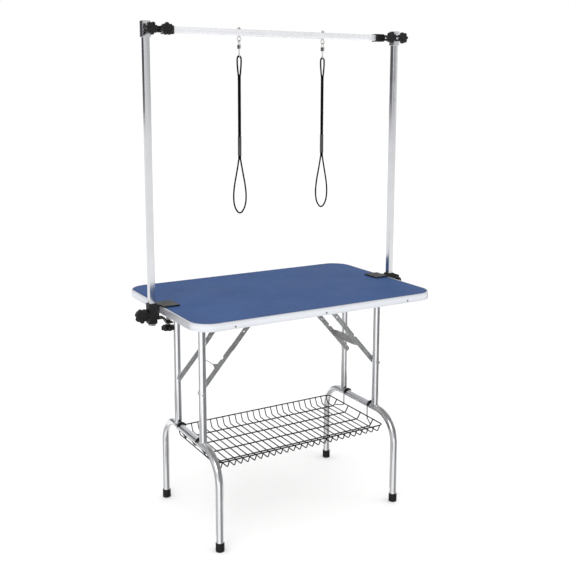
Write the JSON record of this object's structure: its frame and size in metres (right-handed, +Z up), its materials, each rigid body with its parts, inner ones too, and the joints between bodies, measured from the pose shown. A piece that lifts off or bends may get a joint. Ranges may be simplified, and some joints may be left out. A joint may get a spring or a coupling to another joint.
{
  "type": "grooming table",
  "caption": "Folding pet grooming table with a padded-edge top, tubular legs, wire basket under it and an overhead arm holding two rope nooses.",
  "frame": {"origin": "on the floor under the middle of the tabletop", "axes": "+Z up, +X to the right along the length of the top, -Y towards the front"},
  "size_m": [1.0866, 0.6124, 1.69],
  "materials": {
    "board": "birch plywood, satin",
    "mat": "matt textured non-slip mat",
    "trim": "satin silver anodised",
    "rivet_zinc": "zinc plated",
    "bracket_steel": "zinc plated stamping",
    "clamp_black": "black powder coat",
    "clamp_pad_steel": "zinc plated",
    "knob_plastic": "moulded black plastic",
    "post_chrome": "bright chrome plated square tube",
    "snap_nickel": "nickel plated",
    "rope_black": "braided nylon cord",
    "slider_grey": "grey plastic sleeve",
    "tube_chrome": "bright plated round tube",
    "foot_rubber": "black rubber",
    "link_steel": "galvanised stamped steel",
    "basket_wire": "black coated wire",
    "hook_vinyl": "black vinyl sleeve"
  },
  "bodies": {
    "tabletop": {"table_board": "board", "table_mat": "mat", "edge_trim": "trim", "trim_rivets": "rivet_zinc", "hinge_saddles": "bracket_steel", "bracket_screws": "rivet_zinc", "brace_anchors": "bracket_steel", "left_clamp_body": "clamp_black", "right_clamp_body": "clamp_black"},
    "left_leg_frame": {"left_hinge_tube": "tube_chrome", "left_uprights": "tube_chrome", "left_foot_arch": "tube_chrome", "left_feet": "foot_rubber", "left_pivot_bolts": "rivet_zinc"},
    "left_lower_brace": {"left_lower_links": "link_steel", "left_strap": "link_steel", "left_knee_rivets": "rivet_zinc"},
    "left_upper_brace": {"left_upper_links": "link_steel"},
    "right_leg_frame": {"right_hinge_tube": "tube_chrome", "right_uprights": "tube_chrome", "right_foot_arch": "tube_chrome", "right_feet": "foot_rubber", "right_pivot_bolts": "rivet_zinc"},
    "right_lower_brace": {"right_lower_links": "link_steel", "right_strap": "link_steel", "right_knee_rivets": "rivet_zinc"},
    "right_upper_brace": {"right_upper_links": "link_steel"},
    "basket": {"basket_rim": "basket_wire", "basket_long_wires": "basket_wire", "basket_cross_wires": "basket_wire", "basket_hooks": "basket_wire", "hook_sleeves": "hook_vinyl"},
    "left_arm_post": {"left_post": "post_chrome", "left_post_cap": "post_chrome"},
    "right_arm_post": {"right_post": "post_chrome", "right_post_cap": "post_chrome"},
    "crossbar_frame": {"post_sleeves": "post_chrome", "bar_brackets": "clamp_black", "crossbar": "post_chrome", "eye_bolts": "snap_nickel"},
    "left_sleeve_knob": {"left_sleeve_knob": "knob_plastic"},
    "left_bar_knob": {"left_bar_knob": "knob_plastic"},
    "left_post_knob": {"left_post_knob": "knob_plastic"},
    "left_clamp_pad": {"left_clamp_pad": "clamp_pad_steel"},
    "left_clamp_screw": {"left_clamp_screw": "clamp_pad_steel", "left_clamp_knob": "knob_plastic"},
    "left_noose": {"left_snap": "snap_nickel", "left_rope": "rope_black"},
    "left_noose_slider": {"left_slider": "slider_grey"},
    "left_snap_latch": {"left_latch": "snap_nickel"},
    "right_sleeve_knob": {"right_sleeve_knob": "knob_plastic"},
    "right_bar_knob": {"right_bar_knob": "knob_plastic"},
    "right_post_knob": {"right_post_knob": "knob_plastic"},
    "right_clamp_pad": {"right_clamp_pad": "clamp_pad_steel"},
    "right_clamp_screw": {"right_clamp_screw": "clamp_pad_steel", "right_clamp_knob": "knob_plastic"},
    "right_noose": {"right_snap": "snap_nickel", "right_rope": "rope_black"},
    "right_noose_slider": {"right_slider": "slider_grey"},
    "right_snap_latch": {"right_latch": "snap_nickel"}
  },
  "joints": [
    {"name": "left_leg_fold", "type": "hinge", "parent": "tabletop", "child": "left_leg_frame", "pos_m": [-0.35, 0, 0.74], "axis": [0, -1, 0], "range_deg": [0, 90], "deforming": ["basket_hooks", "hook_sleeves"]},
    {"name": "left_lower_brace_swing", "type": "hinge", "parent": "left_leg_frame", "child": "left_lower_brace", "pos_m": [-0.35, 0, 0.495], "axis": [0, -1, 0], "range_deg": [0, 42.27]},
    {"name": "left_upper_brace_swing", "type": "hinge", "parent": "tabletop", "child": "left_upper_brace", "pos_m": [-0.135, 0, 0.74], "axis": [0, -1, 0], "range_deg": [-49.73, 0]},
    {"name": "right_leg_fold", "type": "hinge", "parent": "tabletop", "child": "right_leg_frame", "pos_m": [0.35, 0, 0.74], "axis": [0, 1, 0], "range_deg": [0, 84], "deforming": ["basket_hooks", "hook_sleeves"]},
    {"name": "right_lower_brace_swing", "type": "hinge", "parent": "right_leg_frame", "child": "right_lower_brace", "pos_m": [0.35, 0, 0.495], "axis": [0, 1, 0], "range_deg": [0, 39.52]},
    {"name": "right_upper_brace_swing", "type": "hinge", "parent": "tabletop", "child": "right_upper_brace", "pos_m": [0.135, 0, 0.74], "axis": [0, 1, 0], "range_deg": [-46.48, 0]},
    {"name": "basket_lift", "type": "slide", "parent": "tabletop", "child": "basket", "axis": [0, 0, 1], "range_m": [0, 0.08]},
    {"name": "arm_height", "type": "slide", "parent": "tabletop", "child": "left_arm_post", "axis": [0, 0, 1], "range_m": [-0.12, 0.03]},
    {"name": "right_post_slide", "type": "slide", "parent": "tabletop", "child": "right_arm_post", "axis": [0, 0, 1], "range_m": [-0.121, 0.031]},
    {"name": "crossbar_height", "type": "slide", "parent": "left_arm_post", "child": "crossbar_frame", "axis": [0, 0, 1], "range_m": [-0.15, 0]},
    {"name": "left_sleeve_knob_turn", "type": "hinge", "parent": "crossbar_frame", "child": "left_sleeve_knob", "pos_m": [-0.48, 0, 1.665], "axis": [0, -1, 0], "range_deg": [0, 720]},
    {"name": "left_bar_knob_turn", "type": "hinge", "parent": "crossbar_frame", "child": "left_bar_knob", "pos_m": [-0.429, 0, 1.665], "axis": [0, -1, 0], "range_deg": [0, 720]},
    {"name": "left_post_knob_turn", "type": "hinge", "parent": "tabletop", "child": "left_post_knob", "pos_m": [-0.521, 0, 0.762], "axis": [0, -1, 0], "range_deg": [0, 720]},
    {"name": "left_clamp_travel", "type": "slide", "parent": "tabletop", "child": "left_clamp_pad", "axis": [0, 0, -1], "range_m": [0, 0.009]},
    {"name": "left_clamp_turn", "type": "hinge", "parent": "left_clamp_pad", "child": "left_clamp_screw", "pos_m": [-0.425, 0, 0.73], "axis": [0, 0, -1], "range_deg": [-10, 2170]},
    {"name": "left_noose_swing", "type": "hinge", "parent": "crossbar_frame", "child": "left_noose", "pos_m": [-0.155, 0, 1.6389], "axis": [0, 1, 0], "range_deg": [-15, 15]},
    {"name": "left_noose_adjust", "type": "slide", "parent": "left_noose", "child": "left_noose_slider", "axis": [0, 0, 1], "range_m": [0, 0.1]},
    {"name": "left_latch_pull", "type": "slide", "parent": "left_noose", "child": "left_snap_latch", "axis": [0, 0, -1], "range_m": [0, 0.004], "stiffness_N_per_m": 400, "springref_m": -0.002},
    {"name": "right_sleeve_knob_turn", "type": "hinge", "parent": "crossbar_frame", "child": "right_sleeve_knob", "pos_m": [0.48, 0, 1.665], "axis": [0, -1, 0], "range_deg": [0, 720]},
    {"name": "right_bar_knob_turn", "type": "hinge", "parent": "crossbar_frame", "child": "right_bar_knob", "pos_m": [0.429, 0, 1.665], "axis": [0, -1, 0], "range_deg": [0, 720]},
    {"name": "right_post_knob_turn", "type": "hinge", "parent": "tabletop", "child": "right_post_knob", "pos_m": [0.521, 0, 0.762], "axis": [0, 1, 0], "range_deg": [0, 720]},
    {"name": "right_clamp_travel", "type": "slide", "parent": "tabletop", "child": "right_clamp_pad", "axis": [0, 0, -1], "range_m": [0, 0.009]},
    {"name": "right_clamp_turn", "type": "hinge", "parent": "right_clamp_pad", "child": "right_clamp_screw", "pos_m": [0.425, 0, 0.73], "axis": [0, 0, -1], "range_deg": [-10, 2170]},
    {"name": "right_noose_swing", "type": "hinge", "parent": "crossbar_frame", "child": "right_noose", "pos_m": [0.17, 0, 1.6389], "axis": [0, 1, 0], "range_deg": [-15, 15]},
    {"name": "right_noose_adjust", "type": "slide", "parent": "right_noose", "child": "right_noose_slider", "axis": [0, 0, 1], "range_m": [0, 0.1]},
    {"name": "right_latch_pull", "type": "slide", "parent": "right_noose", "child": "right_snap_latch", "axis": [0, 0, -1], "range_m": [0, 0.004], "stiffness_N_per_m": 400, "springref_m": -0.002}
  ],
  "couplings": [
    {"joint": "left_lower_brace_swing", "follows": "left_leg_fold", "ratio": 0.45854},
    {"joint": "left_upper_brace_swing", "follows": "left_leg_fold", "ratio": -0.54146},
    {"joint": "right_lower_brace_swing", "follows": "right_leg_fold", "ratio": 0.45854},
    {"joint": "right_upper_brace_swing", "follows": "right_leg_fold", "ratio": -0.54146},
    {"joint": "right_post_slide", "follows": "arm_height", "ratio": 1},
    {"joint": "left_clamp_turn", "follows": "left_clamp_travel", "rad_per_m": 4188.8},
    {"joint": "right_clamp_turn", "follows": "right_clamp_travel", "rad_per_m": 4188.8}
  ]
}
